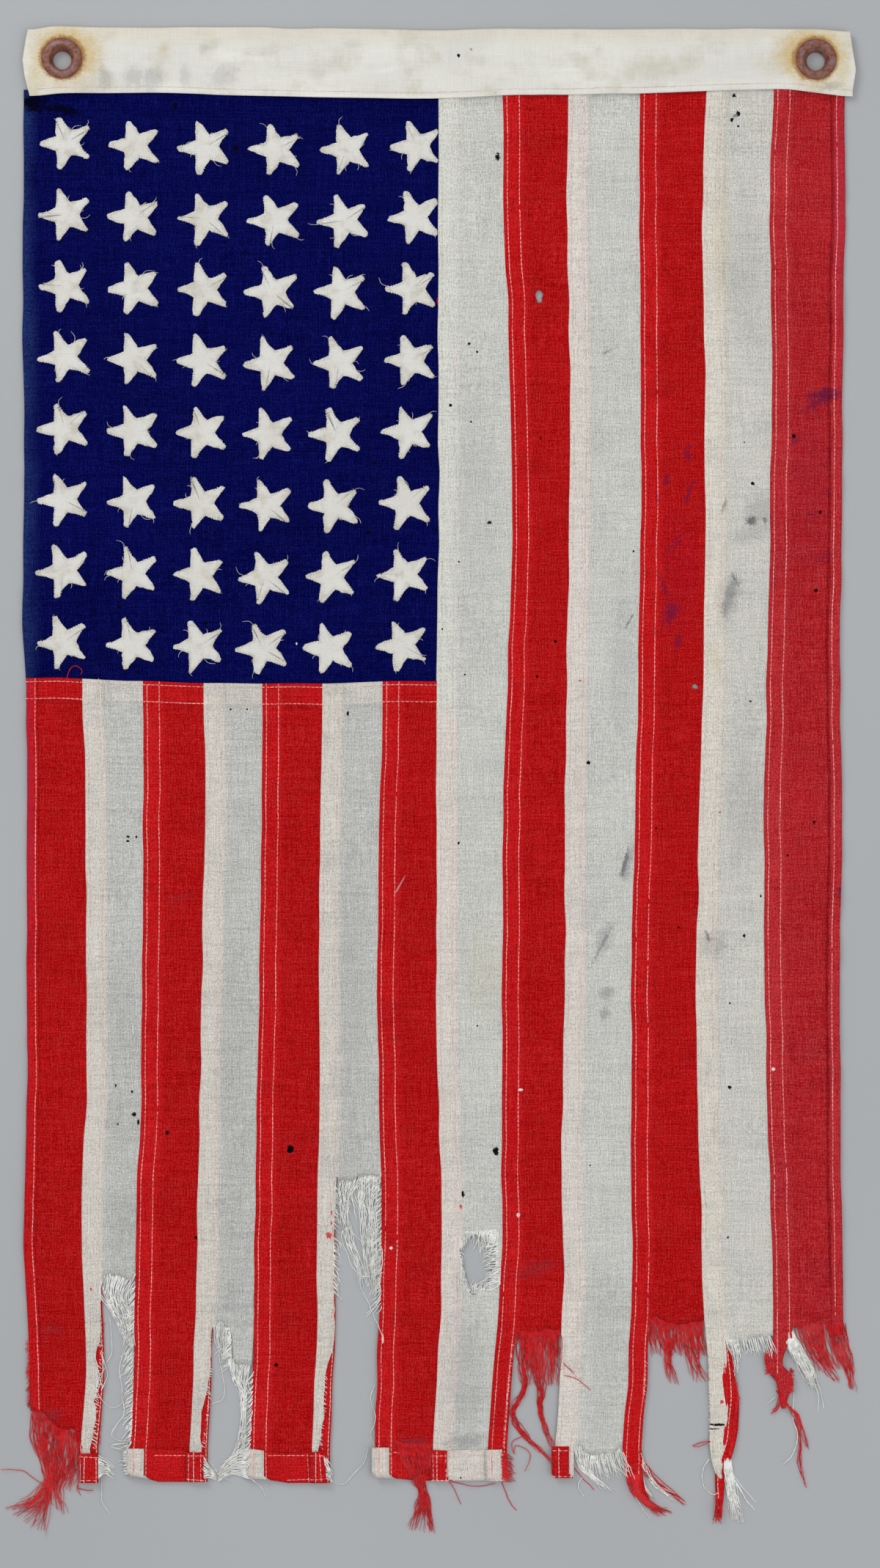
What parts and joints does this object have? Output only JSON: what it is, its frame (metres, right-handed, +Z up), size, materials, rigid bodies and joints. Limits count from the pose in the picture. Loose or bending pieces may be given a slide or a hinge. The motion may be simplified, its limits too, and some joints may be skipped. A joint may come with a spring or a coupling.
{
  "type": "tattered flag",
  "caption": "Small sewn bunting boat flag with a canvas heading and grommets, its fly end torn to threads, laid flat.",
  "frame": {"origin": "the underside of the cloth at the middle of its width and length, on the surface that the flag lies on", "axes": "+X across the hoist to the right with the heading at the far end, +Y along the flag towards its heading, +Z up out of the face shown"},
  "size_m": [0.4127, 0.7323, 0.005],
  "materials": {
    "red_bunting": "loosely woven wool bunting, faded and soiled",
    "white_bunting": "loosely woven wool bunting, greyed and stained",
    "navy_bunting": "loosely woven wool bunting, with cotton stars",
    "canvas": "off-white cotton canvas with rust stains",
    "rusted_brass": "dull, rust-brown"
  },
  "bodies": {
    "root": {"stripe_01": "red_bunting", "stripe_02": "white_bunting", "stripe_03": "red_bunting", "stripe_04": "white_bunting", "stripe_05": "red_bunting", "stripe_06": "white_bunting", "stripe_07": "red_bunting", "stripe_08": "white_bunting", "stripe_09": "red_bunting", "stripe_10": "white_bunting", "stripe_11": "red_bunting", "stripe_12": "white_bunting", "stripe_13": "red_bunting", "canton": "navy_bunting", "heading": "canvas", "eyelet_left": "rusted_brass", "eyelet_right": "rusted_brass", "washer_left": "rusted_brass", "washer_right": "rusted_brass"}
  },
  "joints": []
}
